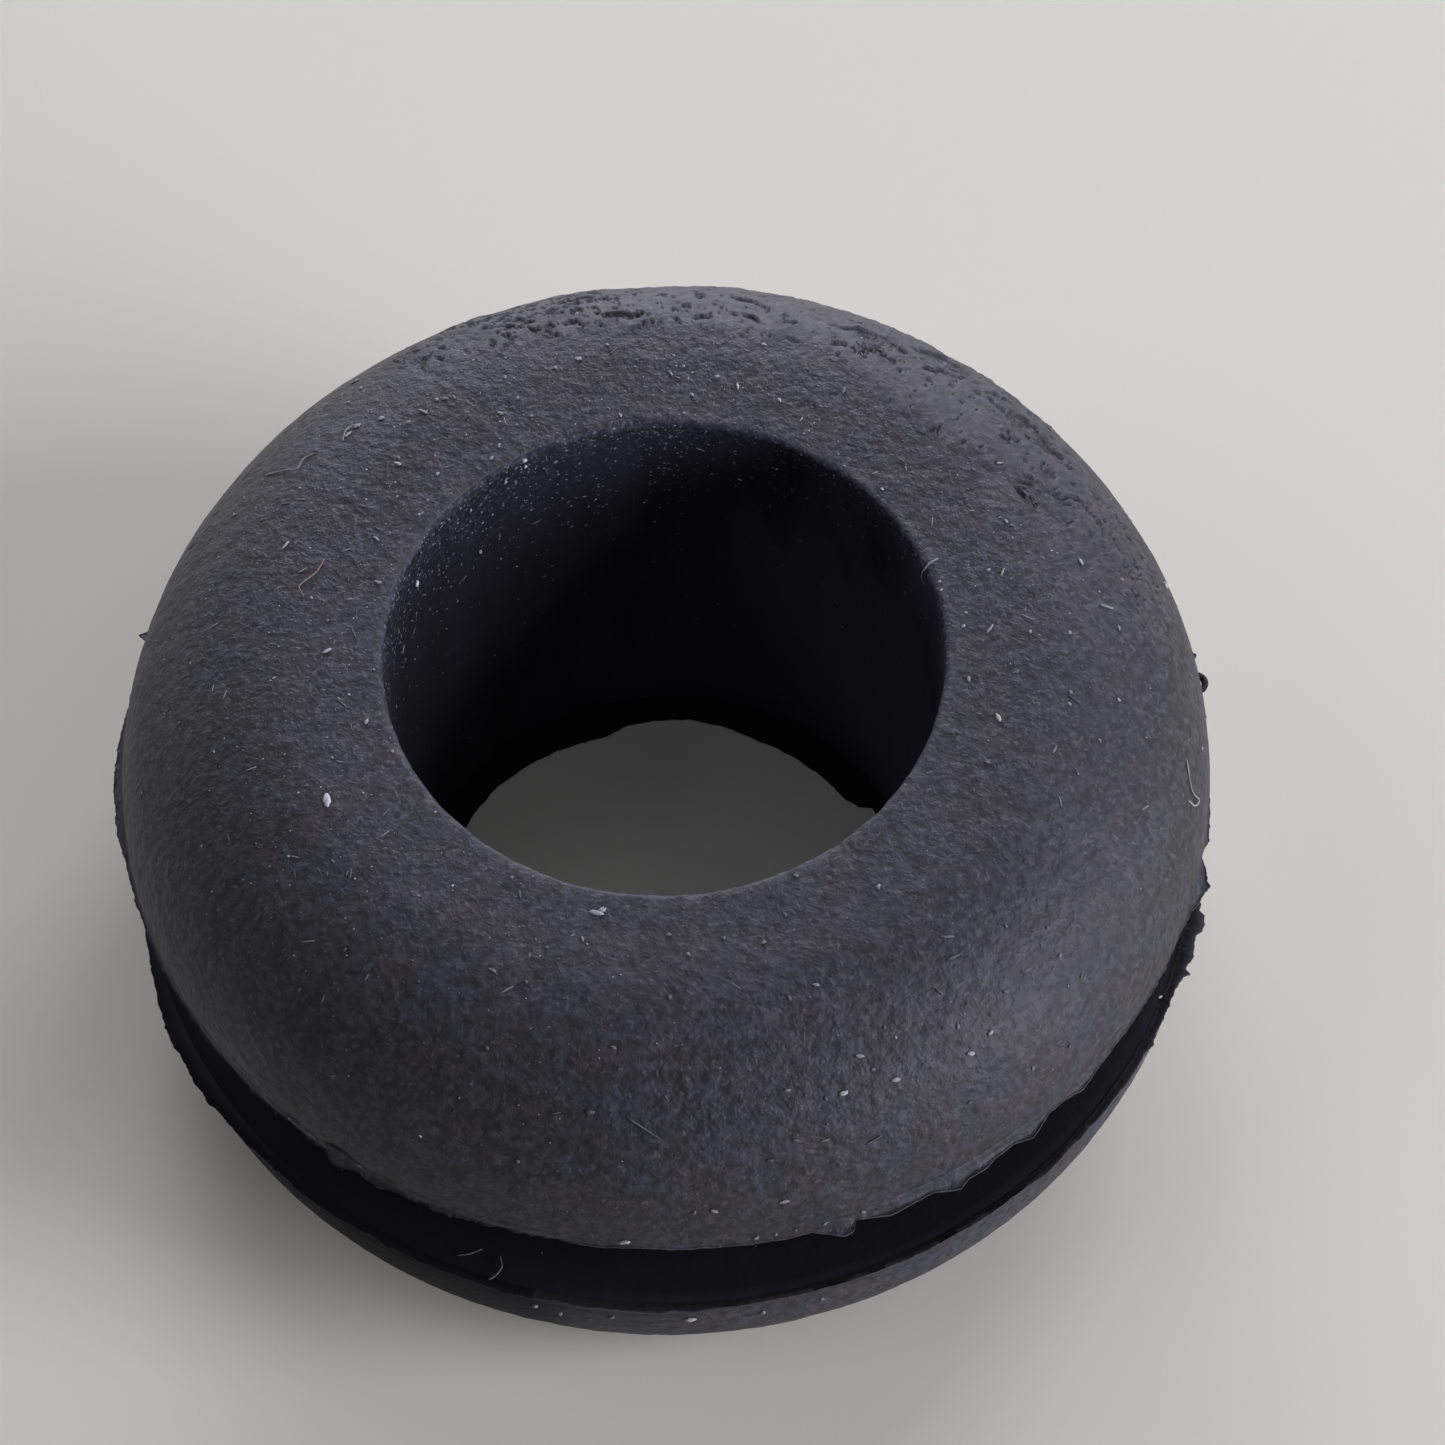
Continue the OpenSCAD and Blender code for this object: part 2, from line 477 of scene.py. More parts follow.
# how far the old skin lifts at each point, how much dust film it carries, with a painted highlight on its
# lips and painted shadow in its clefts, and how much of it still stands
def liftSkin(f, angles, paths, places):
    wobble, waves, pits, warp = peelNoises(f, places)
    stands = softStep(depthInOvals(angles, paths, f["sheets"])[0] + 0.3 * waves, 0, 0.45)
    bentAngles = angles + np.degrees(f["ragged"] * warp[:, 0] / 11)
    depth, outer = depthInOvals(bentAngles, paths + f["ragged"] * mm * 0.7 * warp[:, 1], f["torn"])
    # a torn spot is deepest under its far edge and runs out towards the bore
    torn = softStep(depth, -0.08, 0.12) * softStep(outer + 0.5 * wobble, -0.9, 0.4)
    torn *= softStep(stands, 0.15, 0.4)
    wide = [oval for oval in f["torn"] if oval[3] > f["wide"]]
    inWide = softStep(depthInOvals(angles, paths, wide)[0], -0.2, 0.3)
    pitted = np.maximum(softStep(angles, *f["pittedFrom"]), inWide)
    start, full = [edge - f["morePits"] * pitted for edge in f["pitEdge"]]
    torn = np.maximum(torn, softStep(pits, start, full) * stands)
    lip, cleft = [np.exp(-((depth - at) / spread) ** 2) for at, spread in (f["lipDepth"], f["cleftDepth"])]
    lip *= softStep(outer, -0.2, 0.6) * stands
    cleft *= softStep(outer, -0.1, 0.4) * softStep(stands, 0.15, 0.4)
    lifts = f["thickness"] * stands * (1 - torn) + f["curl"] * lip * (1 - torn) * (0.4 + wobble)
    lifts -= f["sink"] * torn
    lifts += f["lumps"] * wobble * softStep(paths, crownPath(11.0), crownPath(12.4)) * stands
    lifts -= f["margin"] * (1 - softStep(stands, 0, 0.1))
    # painted light: the curled lips are made paler and the clefts darker
    onSheets, lipHighlight, cleftShadow, inTorn = f["filmAndLight"]
    filmAndLight = 1.0 + onSheets * stands * (1 - torn) + lipHighlight * lip * stands
    filmAndLight *= (1 - cleftShadow * cleft) * (1 - inTorn * torn)
    return lifts, filmAndLight, stands * (1 - torn)


def peelSkin(f):
    ringAngles = np.linspace(*f["angles"], f["columns"])
    crossPaths = np.linspace(crownPath(f["radii"][0]), crownPath(f["radii"][1]), f["rows"])
    angles = np.repeat(ringAngles, f["rows"])
    paths = np.tile(crossPaths, f["columns"])
    places, outward = [np.array(part) for part in zip(*[skinAt(a, p) for a, p in zip(angles, paths)])]
    lifts, filmAndLight, sheet = liftSkin(f, angles, paths, places)
    points = places + outward * lifts[:, None]
    faces = gridFaces(f["columns"], f["rows"], ring=False, tube=False)
    faces = [face for face in faces if max(lifts[list(face)]) > -f["buried"]]
    piece = addMesh("peeledSkin", points, faces, skinRubber)
    addPointValues(piece, "sectionPath", paths / mm)
    addPointValues(piece, "dustFilmAndLight", filmAndLight)
    addPointValues(piece, "sheet", sheet)
    shape = bmesh.new()
    shape.from_mesh(piece.data)
    loose = [v for v in shape.verts if not v.link_faces]
    bmesh.ops.delete(shape, geom=loose, context="VERTS")
    shape.to_mesh(piece.data)
    shape.free()
    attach(piece, "root")
    return piece


# a torn edge round the bore: its angles, and how far it reaches at each, between the given ones
def tornEdge(knots, slices):
    angles = np.linspace(0, 360, slices, endpoint=False)
    knots = np.array(knots)
    return angles, np.interp(angles, knots[:, 0], knots[:, 1], period=360)


# a section's points carried to an angle round the bore
def carrySection(section, angle):
    return [(r * cos(angle), r * sin(angle), z) for r, z in section]


# torn flash along both edges of the groove
# its edge: angle, then reach past the flange in mm
flash = {
    "slices": 2700,
    "bead": 0.022 * mm,        # the torn edge is a little thicker
    "wave": 0.03 * mm,
    # how close together the tears, their deeper notches, the nubs, the waves and the change of shade come
    "scales": (30, 13, 34, 14, 20),
    "frayedSide": (-8, 26, 8),   # bearing of the frayed right side, half its width, and its fade
    "cling": 0.34 * mm,        # how far up the flange it clings
    "bite": 0.15 * mm,         # and how far it goes into the groove's edge
}
upperFlash = {
    "height": grooveTop,
    "thickness": 0.035 * mm,
    "droop": 0.25,             # how far it hangs, as a part of its reach
    "ragged": 0.014,
    "nubs": 0.06,
    "filmAndLight": 0.9,
    "root": 0.95,              # dust film where it leaves the flange
    "shadedRoot": 1.0,         # how much of that is left on the near left side; less there is painted shade
    "seed": 3.0,
    "edge": [
        (1.6, -0.05), (4, 0.03), (6, 0.06), (7.2, 0.04), (11.3, 0.04), (12, 0.14), (12.5, 0.19), (13, 0.03),
        (30, 0), (160, 0.02), (163.2, 0.04), (163.9, 0.22), (164.4, 0.4), (165.4, 0.07), (172.7, 0.09),
        (178.4, 0.19), (183.9, 0.24), (188.8, 0.19), (193.8, 0.09), (199, 0.05), (204, 0.09), (208, 0.05),
        (215, 0.05), (228, 0.02), (233.6, 0.04), (235.6, 0.18), (237.6, 0.05), (240.4, 0.15), (242.5, 0.03),
        (247, 0.05), (252, 0.03), (254, 0), (259, 0), (261, 0.03), (277, 0.04), (282.9, 0.06),
        (284.6, 0.04), (287.6, 0.3), (288.6, 0.26), (289.2, 0.04), (292.6, 0.22), (295.7, 0.16),
        (297.5, 0.12), (300, 0.32), (301.2, 0.22), (303.5, 0.22), (304.8, 0.14), (307.2, 0.11),
        (309.2, 0.24), (310.4, 0.18), (312.1, 0.06), (314.4, 0.05), (316.6, 0.16), (319, 0.08),
        (322.6, 0.03), (330, 0.04), (338, 0.02), (340.5, 0.06), (341.5, 0.12), (343, 0.2), (344, 0.29),
        (344.5, 0.2), (345.7, 0.15), (347, -0.02), (348.5, 0.05), (349.3, 0.1), (350.5, 0.06), (354, 0.01),
    ],
}
lowerFlash = {
    "height": grooveFoot,
    "thickness": 0.04 * mm,
    "droop": 0.1,
    "ragged": 0.026,
    "nubs": 0.045,
    "filmAndLight": 1.0,
    "root": 1.0,
    "shadedRoot": 0.05,
    "seed": 11.0,
    "edge": [
        (10, 0), (190, 0.02), (195.2, 0.06), (201.4, 0.19), (206.5, 0.24), (211.8, 0.26), (217, 0.18),
        (223, 0.14), (229, 0.12), (236, 0.05), (248, 0.03), (256.5, 0.05), (259.3, 0.04), (267, 0.05),
        (272.8, 0.08), (276, 0.02), (290, 0.01), (300, 0.03), (304, 0), (315, 0.05), (320, 0.02),
        (331, 0.1), (332.1, 0.17), (332.6, 0.08), (337.1, 0.06), (339, 0.07), (340.9, 0.16), (341.5, 0.31),
        (341.9, 0.15), (343.7, 0.22), (346.2, 0.18), (346.8, 0.31), (347.5, 0.34), (348.7, 0.3),
        (349.2, 0.18), (352, 0.1), (356, 0.02),
    ],
}


# 1 on the right side, where the flash is finely frayed
def nearRight(angle):
    bearing, half, fade = flash["frayedSide"]
    away = abs((angle - bearing + 180) % 360 - 180)
    return min(max((half - away) / fade, 0), 1)


# the section of the flash, from the flange out to its torn edge and back under the groove's edge
def flashSection(f, outside, tip, sag):
    edge, h = body["outerRadius"], f["height"]
    bead, under = flash["bead"], outside * f["thickness"] * 0.5
    return [
        (edge - 0.06 * mm, h + outside * flash["cling"]),
        (edge + 0.004 * mm, h + outside * 0.22 * mm),
        (edge + 0.16 * tip, h + outside * 0.12 * mm + 0.1 * sag),
        (edge + 0.40 * tip, h + outside * 0.055 * mm + 0.3 * sag),
        (edge + tip - bead, h + outside * 0.025 * mm + sag),
        (edge + tip - 0.3 * bead, h + outside * (0.025 * mm + bead) + sag),
        (edge + tip, h + outside * 0.012 * mm + sag),
        (edge + tip - 0.3 * bead, h - under + sag),
        (edge + 0.4 * tip, h - under + 0.3 * sag),
        (edge - flash["bite"], h - under),
    ]


# how much dust film lies on each point of that section: the torn edge is painted palest as a highlight,
# except on the near left side, which is darkened as painted shade
def flashFilmAndLight(f, pale, shade):
    left = f["shadedRoot"] + (1 - f["shadedRoot"]) * pale
    root = f["root"] * left
    lit = f["filmAndLight"] * (1.0 + 0.5 * shade) * left
    return [root, root, root, lit, lit * (1.1 + 0.1 * pale), lit * (0.3 + 1.4 * pale),
            lit * (0.05 + 1.3 * pale), 0.3 * lit * pale, 0.0, 0.0]


def tearFlash(name, f):
    angles, reach = tornEdge(f["edge"], flash["slices"])
    tearScale, notchScale, nubScale, waveScale, shadeScale = flash["scales"]
    rows, filmAndLight = [], []
    outside = 1 if f["height"] == grooveTop else -1      # which way the flange lies from the groove
    for angle, tip in zip(np.radians(angles), reach):
        spot = Vector((cos(angle), sin(angle), f["seed"]))
        tears = noise.fractal(spot * tearScale, 0.6, 2.2, 4) + 1.6 * noise.noise(spot * notchScale)
        turn = degrees(angle)
        nubs = abs(noise.fractal(spot * nubScale, 0.5, 2.3, 4)) * max(1 - offShadedSide(turn), nearRight(turn))
        tip = (tip + f["ragged"] * tears + f["nubs"] * nubs) * mm
        wave = flash["wave"] * noise.fractal(spot * waveScale, 0.8, 2.0, 3)
        section = flashSection(f, outside, tip, wave - f["droop"] * max(tip, 0))
        rows.append(carrySection(section[::outside], angle))
        filmAndLight.append(flashFilmAndLight(f, offShadedSide(turn), noise.noise(spot * shadeScale))[::outside])
    points = np.array(rows).reshape(-1, 3)
    ring = len(section)
    piece = addMesh(name, points, gridFaces(flash["slices"], ring), skinRubber, hollowShadeRubber)
    # the flash has the colours of the flat face
    addPointValues(piece, "sectionPath", np.tile(np.linspace(12, 13, ring), flash["slices"]))
    addPointValues(piece, "dustFilmAndLight", np.ravel(filmAndLight))
    # the lower flash on the near left side takes the darker rubber, as painted shade there
    inPaintedShade = [int(outside < 0 and offShadedSide(angle) < 0.02) for angle in angles]
    piece.data.polygons.foreach_set("material_index", np.repeat(inPaintedShade, ring))
    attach(piece, "root")


# the web of flash left in the foot of the bore
boreFlash = {
    "height": 0.06 * mm,
    "slices": 1500,
    "thickness": 0.05 * mm,
    "ragged": 0.03 * mm,
    "raggedScale": 16,
    "tuck": 0.25 * mm,         # how deep it goes into the wall
    "bevel": 0.06 * mm,        # how far the torn edge thins out
    "fillet": (0.30 * mm, 0.70 * mm),     # how high it climbs, beside the wall and in it
    # its torn edge: angle, then radius in mm
    "edge": [
        (0, 5.8), (20, 5.9), (32, 6), (34, 5.75), (38, 5.6), (46, 5.63), (60, 5.68), (66, 5.67), (76, 5.8),
        (85, 5.9), (95, 5.87), (102, 5.8), (107, 5.62), (113, 5.67), (120, 5.74), (129, 5.8), (138, 5.87),
        (150, 5.86), (200, 5.8), (230, 5.65), (260, 5.9), (325, 5.85),
    ],
}


def tearBoreFlash(f):
    angles, opening = tornEdge(f["edge"], f["slices"])
    rows = []
    bore, bevel = body["boreRadius"], f["bevel"]
    wall = bore + f["tuck"]
    beside, inside = f["fillet"]
    for angle, tip in zip(np.radians(angles), opening * mm):
        spot = Vector((cos(angle), sin(angle), 21))
        tip += f["ragged"] * noise.fractal(spot * f["raggedScale"], 0.8, 2.2, 4)
        half, h = f["thickness"] / 2, f["height"]
        section = [
            (wall, h - half), (tip + bevel, h - half), (tip, h), (tip + bevel, h + half),
            (bore - bevel, h + beside), (wall, h + inside),
        ]
        rows.append(carrySection(section, angle))
    points = np.array(rows).reshape(-1, 3)
    piece = addMesh("boreFlash", points, gridFaces(f["slices"], len(section)), hollowShadeRubber)
    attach(piece, "root")


# dust lying on the skin, sizes in mm: length, width and thickness
dust = {
    # what chance drops: grains and then chips, with how many, their width, how many times longer they are
    # at most, least paleness, the rest of it, and how rare the palest are
    "fallen": [(1500, (0.018, 0.040), 1.8, 0.15, 0.85, 3), (170, (0.035, 0.060), 2, 0.12, 0.9, 2.5)],
    "thinner": 0.6,             # thickness of them by their width
    "rods": 110,
    "rodLength": (0.12, 0.30),
    "rodSize": (0.032, 0.025),
    "rodPaleness": (0.1, 0.5),
    # where: the share of each place and those before it, then from which radius or height to which
    "crown": (0.78, 6.5, 12.6),
    "bore": (0.88, 12.0, 6.0),
    "shelf": (0.92, 10.5, 12.6),
    "foot": (1.0, 4.4, 1.0),
    "thickest": (130, 0.54, 0.46),      # the bearing where most of it lies, its share all round and there
    "knobs": 0.28,              # how knobbly all of it is
    "stands": 0.30,             # how high it stands on the skin, by its thickness
    "nearFade": 0.3,            # how much duller it is in front
    "fleckLength": (0.08, 0.14),
    "fleckSize": (0.075, 0.055),
    "fleckPaleness": 0.55,
    "markSize": (0.9, 0.85),    # part of the given length and width
    "markPaleness": 0.62,
    "tallest": (0.09, 0.07),    # thickness at most of the specks and of the marks
    "fade": 1.5,                # how quickly the duller marks and flecks fade
    # given one by one: specks (where, angle, height or radius, length, width, heading, paleness)
    "marked": [
        ("bore", 155.1, 10.99, 0.18, 0.13, 60, 1), ("bore", 121, 11.78, 0.1, 0.1, 0, 0.8),
        ("bore", 126, 11.58, 0.1, 0.08, 0, 0.6), ("bore", 134.1, 9.58, 0.09, 0.09, 0, 0.6),
        ("bore", 121, 12.01, 0.14, 0.12, 0, 0.9), ("crown", 266, 12.69, 0.24, 0.09, 25, 0.9),
        ("foot", 256.4, 4.35, 0.14, 0.1, 0, 0.5), ("foot", 259, 3.83, 0.1, 0.1, 0, 0.35),
        ("foot", 272.4, 4.29, 0.28, 0.13, 350, 0.8), ("foot", 279.8, 4.35, 0.12, 0.09, 0, 0.4),
        ("foot", 264.3, 4.4, 0.18, 0.07, 60, 0.4), ("foot", 286, 4.2, 0.12, 0.08, 0, 0.35),
    ],
    # marks on the crown (angle, radius, length, width, heading, paleness)
    "marks": [
        (208, 8.4, 0.36, 0.2, 95, 1.3), (259, 6.9, 0.2, 0.13, 20, 1), (161, 9.2, 0.3, 0.06, 60, 1),
        (180, 7.6, 0.26, 0.08, 35, 1.1), (140, 8.1, 0.2, 0.09, 340, 1.1), (8, 10.2, 0.42, 0.06, 0, 0.8),
        (4, 7.4, 0.3, 0.06, 60, 0.8), (15, 8, 0.26, 0.06, 70, 0.8), (155, 7.3, 0.2, 0.07, 310, 0.9),
        (164, 6.8, 0.2, 0.07, 350, 0.9), (33, 10.1, 0.26, 0.06, 20, 0.8), (293, 10.8, 0.2, 0.09, 5, 0.7),
        (131, 11.3, 0.28, 0.08, 50, 1), (140, 9.7, 0.28, 0.08, 50, 1), (138, 9.7, 0.2, 0.09, 35, 1),
        (135, 9.4, 0.2, 0.09, 30, 1), (130, 8.8, 0.26, 0.09, 325, 1), (126, 8.8, 0.2, 0.06, 10, 0.6),
        (104, 8.5, 0.2, 0.11, 0, 1.1), (102, 10.1, 0.2, 0.09, 110, 1), (114, 10.2, 0.36, 0.07, 345, 0.6),
        (89, 7.8, 0.2, 0.07, 110, 0.8), (77, 7.6, 0.2, 0.07, 90, 1.1), (60, 8.4, 0.24, 0.07, 70, 0.5),
        (34, 9.4, 0.26, 0.07, 15, 0.9), (39, 10.4, 0.2, 0.07, 340, 0.8), (15, 9.9, 0.2, 0.09, 100, 1.1),
        (16, 12.2, 0.2, 0.12, 310, 1.1), (352, 9.3, 0.42, 0.04, 320, 0.4), (346, 7.7, 0.24, 0.12, 105, 1),
        (343, 9.1, 0.26, 0.05, 60, 0.6), (279, 12.7, 0.18, 0.12, 20, 0.7), (232, 12.7, 0.22, 0.1, 330, 0.6),
        (236, 12.7, 0.24, 0.07, 330, 0.6), (291, 9.2, 0.18, 0.08, 0, 1), (310, 9.6, 0.38, 0.06, 5, 0.5),
        (309, 10, 0.42, 0.06, 25, 0.4), (321, 11.8, 0.18, 0.05, 60, 0.5), (312, 11.1, 0.18, 0.07, 0, 0.4),
        (308, 11.5, 0.18, 0.09, 40, 1), (293, 10.8, 0.22, 0.08, 0, 1), (296, 11.4, 0.22, 0.12, 10, 1.1),
        (290, 11.3, 0.24, 0.12, 20, 1.2), (284, 11, 0.18, 0.07, 0, 0.6), (246, 9, 0.22, 0.09, 330, 0.5),
        (305, 10.4, 0.24, 0.06, 320, 0.4), (268, 11.4, 0.94, 0.05, 325, 0.4),
        (262, 11.2, 0.22, 0.12, 0, 0.3), (284, 11.8, 0.18, 0.06, 345, 0.5),
        (287, 11.9, 0.28, 0.06, 10, 0.6), (292, 12.1, 0.46, 0.05, 25, 0.4), (305, 11.6, 0.22, 0.11, 0, 1),
        (282, 12.5, 0.24, 0.09, 10, 0.9), (275, 12.5, 0.22, 0.09, 325, 0.9), (281, 12, 0.18, 0.06, 0, 0.4),
        (244, 7.1, 0.24, 0.07, 95, 0.3), (258, 7, 0.36, 0.13, 350, 1),
    ],
    # flecks on the crown (angle, radius, paleness)
    "flecks": [
        (204, 6.6, 0.8), (156, 11, 1), (296, 6.6, 0.8), (196, 6.9, 0.9), (190, 7.4, 0.7), (337, 7.8, 0.6),
        (290, 11.3, 0.8), (307, 7.8, 0.6), (291, 9.2, 0.6), (241, 6.8, 0.7), (132, 10.8, 0.9),
        (135, 10.6, 0.8), (136, 11.2, 0.8), (133, 8.8, 0.8), (127, 8.9, 0.8), (139, 8.2, 0.7),
        (137, 7.2, 0.9), (127, 6.7, 0.9), (124, 6.9, 0.8), (120, 7.7, 0.8), (116, 7.9, 0.8),
        (116, 8.6, 0.8), (108, 8.4, 0.8), (119, 9.8, 0.9), (123, 9.9, 0.9), (99, 8.8, 0.9), (93, 10, 0.8),
        (89, 9.7, 1), (81, 7.8, 0.9), (75, 9.3, 1), (75, 9, 0.9), (85, 7.2, 1), (69, 7.5, 1),
        (32, 10.1, 0.9), (37, 11.6, 0.9), (24, 8.6, 0.8), (16, 7.7, 0.8), (13, 10.8, 0.8), (5, 10.4, 0.9),
        (3, 8.3, 0.8), (3, 9.2, 0.8), (5, 6.8, 0.9), (353, 6.9, 0.8), (353, 9.2, 0.8), (351, 9.2, 0.8),
        (354, 10.3, 0.9), (347, 10, 0.6), (281, 12.7, 0.8), (283, 12.7, 0.6), (286, 12.7, 0.7),
        (290, 12.7, 0.7), (229, 12.7, 0.7), (238, 12.7, 0.6), (307, 7.8, 1), (257, 7.7, 0.8),
        (274, 7.9, 0.8), (286, 7.9, 0.7), (280, 7.6, 0.5), (271, 7.4, 0.5), (291, 7.4, 0.5),
        (320, 11.3, 0.7), (317, 10.2, 0.5), (321, 10.8, 0.5), (305, 11.1, 0.6), (316, 12.4, 0.5),
        (311, 12.3, 0.7), (288, 11.3, 0.4), (264, 10, 0.6), (271, 8.9, 0.5), (287, 9.3, 0.4),
        (297, 10.5, 0.5), (273, 12.5, 0.6), (255, 12.1, 0.5), (303, 12.2, 0.4), (250, 8.4, 0.4),
        (251, 9, 0.4), (249, 10.5, 0.4), (294, 11.1, 0.6), (252, 8.1, 0.4),
    ],
}
pathOf = {"crown": crownPath, "bore": borePath, "shelf": shelfPath, "foot": footPath}


# a unit pebble, as points and faces
def pebble(level):
    shape = bmesh.new()
    bmesh.ops.create_icosphere(shape, subdivisions=level, radius=0.5)
    shape.verts.ensure_lookup_table()
    points = np.array([v.co[:] for v in shape.verts])
    faces = np.array([[v.index for v in f.verts] for f in shape.faces])
    shape.free()
    return points, faces


# one speck on the skin: a knobbly pebble of a length, width and thickness,
# turned to its heading, which is counted from the right as the camera sees it
def speckPoints(shape, angle, path, size, heading):
    place, outward = skinAt(angle, path)
    turn, rise = radians(heading), radians(camera["elevation"])
    long = np.array([cos(turn), sin(turn) * sin(rise), sin(turn) * cos(rise)])
    long -= outward * long.dot(outward)
    long /= np.linalg.norm(long)
    wide = np.cross(outward, long)
    knobs = shape * (1 + dice.uniform(-dust["knobs"], dust["knobs"], (len(shape), 1)))
    solid = knobs[:, :1] * size[0] * long + knobs[:, 1:2] * size[1] * wide + knobs[:, 2:] * size[2] * outward
    return place + solid * mm + outward * size[2] * dust["stands"] * mm


# a place on the exposed skin picked by chance, most often on the far left side
def chanceSpot():
    bearing, allRound, there = dust["thickest"]
    while True:
        angle = dice.uniform(0, 360)
        if dice.uniform() > allRound + there * cos(radians(angle - bearing)):
            continue
        pick = dice.uniform()
        for where in ("crown", "bore", "shelf", "foot"):
            share, start, end = dust[where]
            if pick < share:
                break
        # down the bore and the foot it gets thinner
        if where in ("bore", "foot"):
            return angle, pathOf[where](start - (start - end) * dice.uniform() ** 2)
        return angle, pathOf[where](dice.uniform(start, end))


def scatterDust(d):
    small, large = pebble(1), pebble(2)
    points, faces, paleness, total = [], [], [], 0

    def drop(shape, angle, path, size, heading, pale):
        nonlocal total
        points.append(speckPoints(shape[0], angle, path, size, heading))
        faces.append(shape[1] + total)
        near = max(-sin(radians(angle)), 0)
        paleness.extend([pale * (1 - d["nearFade"] * near)] * len(shape[0]))
        total += len(shape[0])

    for shape, (count, widths, longest, least, more, rarity) in zip((small, large), d["fallen"]):
        for i in range(count):
            angle, path = chanceSpot()
            width = dice.uniform(*widths)
            size = (width * dice.uniform(1, longest), width, width * d["thinner"])
            drop(shape, angle, path, size, dice.uniform(0, 360), least + more * dice.uniform() ** rarity)
    least, more = d["rodPaleness"]
    for i in range(d["rods"]):
        angle, path = chanceSpot()
        size = (dice.uniform(*d["rodLength"]), *d["rodSize"])
        drop(large, angle, path, size, dice.uniform(0, 360), least + more * dice.uniform() ** 2)
    for where, angle, spot, length, width, heading, pale in d["marked"]:
        size = (length, width, min(width, d["tallest"][0]))
        drop(large, angle, pathOf[where](spot), size, heading, pale)
    for angle, radius, length, width, heading, pale in d["marks"]:
        size = (d["markSize"][0] * length, d["markSize"][1] * width, min(width, d["tallest"][1]))
        drop(large, angle, crownPath(radius), size, heading, d["markPaleness"] * pale ** d["fade"])
    for angle, radius, pale in d["flecks"]:
        size = (dice.uniform(*d["fleckLength"]), *d["fleckSize"])
        pale = d["fleckPaleness"] * pale ** d["fade"]
        drop(large, angle, crownPath(radius), size, dice.uniform(0, 360), pale)
    powder = makePowder("paleDust", graded=True)
    piece = addMesh("dustSpecks", np.concatenate(points), np.concatenate(faces), powder)
    addPointValues(piece, "paleness", paleness)
    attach(piece, "root")
    return piece


# lint fibres: where, then angle, radius or height, and lift in mm along each one
lint = {
    "usual": 0.018 * mm,
    "thin": 0.014 * mm,
    "thick": 0.085 * mm,          # the loop of torn rubber
    "loopFilm": 0.2,
    "sides": 6,
    "steps": 8,
    "paleLint": [
        [("crown", 21.2, 6.72, 0.05), ("crown", 20.5, 6.47, 0.08), ("bore", 20, 11.97, 0.08),
         ("bore", 19.1, 11.69, 0.03)],
        [("crown", 149.4, 10.88, 0.02), ("crown", 148.6, 10.39, 0.05), ("crown", 148, 10.1, 0.06),
         ("crown", 146.1, 10.14, 0.05), ("crown", 144.8, 10.06, 0.02)],
        [("crown", 351.8, 11.98, 0.02), ("crown", 349, 12.17, 0.04), ("crown", 349, 12.35, 0.06),
         ("crown", 347.8, 12.29, 0.05), ("crown", 347.5, 12.14, 0.02)],
        [("crown", 141.2, 9.66, 0.02), ("crown", 139.4, 9.82, 0.04), ("crown", 138, 9.74, 0.04),
         ("crown", 138, 9.61, 0.02)],
    ],
    "tornLoop": [
        [("crown", 7.2, 12.69, -0.05), ("crown", 7.5, 12.7, 0.1), ("crown", 8.2, 12.7, 0.17),
         ("crown", 8.9, 12.7, 0.12), ("crown", 9.2, 12.69, -0.05)],
    ],
    "faintLint": [
        [("shelf", 251.7, 12.01, 0.05), ("shelf", 252.3, 12.26, 0.12), ("shelf", 252, 12.5, 0.12),
         ("shelf", 251.4, 12.62, 0.04)],
        [("shelf", 247.3, 12.3, 0.03), ("shelf", 248.5, 12.17, 0.06), ("shelf", 249.5, 11.95, 0.04)],
    ],
    "reddishLint": [
        [("crown", 161.9, 8.17, 0.02), ("crown", 165, 8.23, 0.05), ("crown", 167.9, 8.49, 0.05),
         ("crown", 169.7, 8.33, 0.02)],
    ],
}


# a smooth run of points through the given ones
def smoothRun(knots, steps):
    knots = np.array(knots)
    padded = np.vstack([2 * knots[0] - knots[1], knots, 2 * knots[-1] - knots[-2]])
    run = []
    for i in range(1, len(padded) - 2):
        a, b, c, d = padded[i - 1:i + 3]
        for t in np.linspace(0, 1, steps, endpoint=False):
            run.append(0.5 * (2 * b + (c - a) * t + (2 * a - 5 * b + 4 * c - d) * t ** 2
                              + (3 * b - a - 3 * c + d) * t ** 3))
    run.append(knots[-1])
    return np.array(run)


# a closed tube along a run of points
def sweepTube(run, radius, sides):
    points = []
    side = np.array([0.0, 0.0, 1.0])
    for i, place in enumerate(run):
        ahead = run[min(i + 1, len(run) - 1)] - run[max(i - 1, 0)]
        ahead /= np.linalg.norm(ahead)
        side = side - ahead * side.dot(ahead)
        side /= np.linalg.norm(side)
        other = np.cross(ahead, side)
        girth = radius * (0.5 if i in (0, len(run) - 1) else 1.0)
        for k in range(sides):
            turn = 2 * pi * k / sides
            points.append(place + girth * (cos(turn) * side + sin(turn) * other))
    faces = gridFaces(len(run), sides, ring=False)
    faces.append(tuple(reversed(range(sides))))
    faces.append(tuple(range(len(points) - sides, len(points))))
    return points, faces


def layLint(name, thickness, material):
    points, faces = [], []
    for fibre in lint[name]:
        knots = []
        for where, angle, spot, lift in fibre:
            place, outward = skinAt(angle, pathOf[where](spot))
            knots.append(place + outward * lift * mm)
        tubePoints, tubeFaces = sweepTube(smoothRun(knots, lint["steps"]), thickness, lint["sides"])
        faces += [tuple(v + len(points) for v in face) for face in tubeFaces]
        points += tubePoints
    piece = addMesh(name, points, faces, material)
    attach(piece, "root")
    return piece


